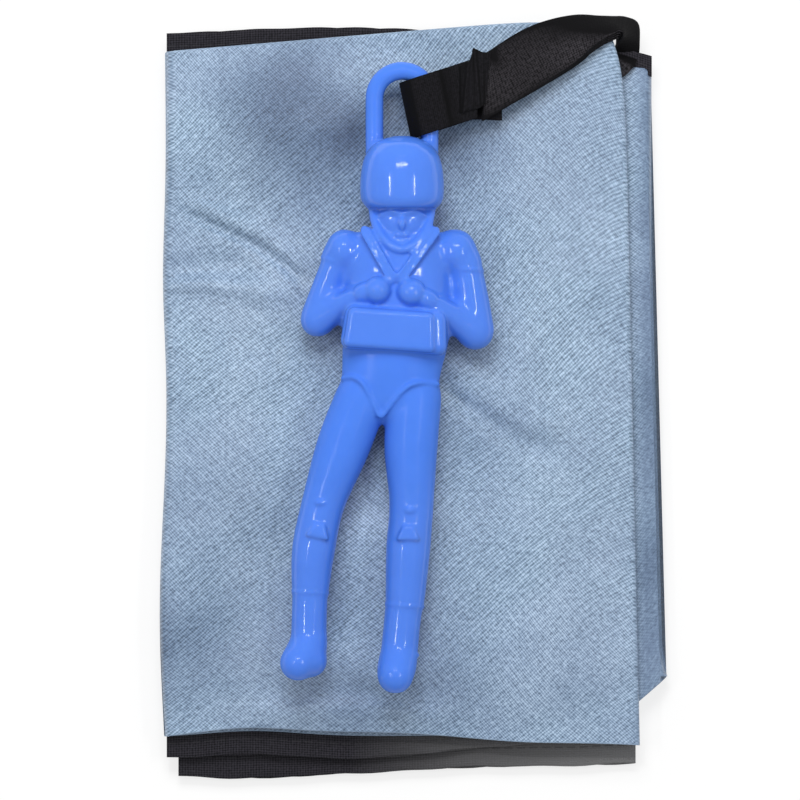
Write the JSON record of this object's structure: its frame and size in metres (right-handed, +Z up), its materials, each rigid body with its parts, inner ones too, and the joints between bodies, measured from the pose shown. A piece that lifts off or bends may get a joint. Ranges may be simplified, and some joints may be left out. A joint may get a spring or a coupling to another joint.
{
  "type": "toy parachute",
  "caption": "Toy parachute folded flat: a square nylon canopy in three leaves, ribbons from its corners, and a moulded paratrooper held by its bail.",
  "frame": {"origin": "middle of the footprint, on the surface that the folded packet rests on", "axes": "+Z up out of the packet, +Y along the figure towards its bail, +X towards the corner where the ribbons leave"},
  "size_m": [0.0836, 0.1264, 0.0223],
  "materials": {
    "canopy_nylon": "satin-weave nylon, soft sheen",
    "hem_binding": "matte black binding tape",
    "suspension_ribbon": "matte ribbed black ribbon",
    "sleeve_ribbon": "smooth black ribbon",
    "figure_plastic": "glossy moulded soft plastic"
  },
  "bodies": {
    "packet_base": {"canopy_bottom_leaf": "canopy_nylon", "canopy_hem_bottom": "hem_binding"},
    "middle_leaf": {"canopy_middle_leaf": "canopy_nylon", "canopy_hem_middle": "hem_binding", "canopy_hem_top": "hem_binding", "canopy_hem_corner": "hem_binding"},
    "top_leaf": {"canopy_top_leaf": "canopy_nylon", "packed_ribbon_1": "suspension_ribbon", "packed_ribbon_2": "suspension_ribbon", "packed_ribbon_3": "suspension_ribbon", "packed_ribbon_4": "suspension_ribbon", "ribbon_corner_turn": "suspension_ribbon"},
    "ribbons": {"suspension_ribbon_1": "suspension_ribbon", "suspension_ribbon_2": "suspension_ribbon", "suspension_ribbon_3": "suspension_ribbon", "suspension_ribbon_4": "suspension_ribbon"},
    "figure": {"paratrooper": "figure_plastic", "bail_sleeve": "sleeve_ribbon", "ribbon_seam": "sleeve_ribbon"}
  },
  "joints": [
    {"name": "unfold_right_crease", "type": "hinge", "parent": "packet_base", "child": "middle_leaf", "pos_m": [0.04206, 0, 0.00235], "axis": [0, 1, 0], "range_deg": [0, 180]},
    {"name": "unfold_left_crease", "type": "hinge", "parent": "middle_leaf", "child": "top_leaf", "pos_m": [-0.04206, 0, 0.00485], "axis": [0, -1, 0], "range_deg": [0, 180]},
    {"name": "ribbon_lift", "type": "hinge", "parent": "top_leaf", "child": "ribbons", "pos_m": [0.03314, 0.06111, 0.00981], "axis": [0, 1, 0], "range_deg": [0, 120]},
    {"name": "figure_swing", "type": "hinge", "parent": "ribbons", "child": "figure", "pos_m": [-0.00231, 0.05371, 0.0137], "axis": [-1, 0, 0], "range_deg": [0, 120]}
  ],
  "couplings": [
    {"joint": "unfold_left_crease", "follows": "unfold_right_crease", "ratio": 1}
  ]
}
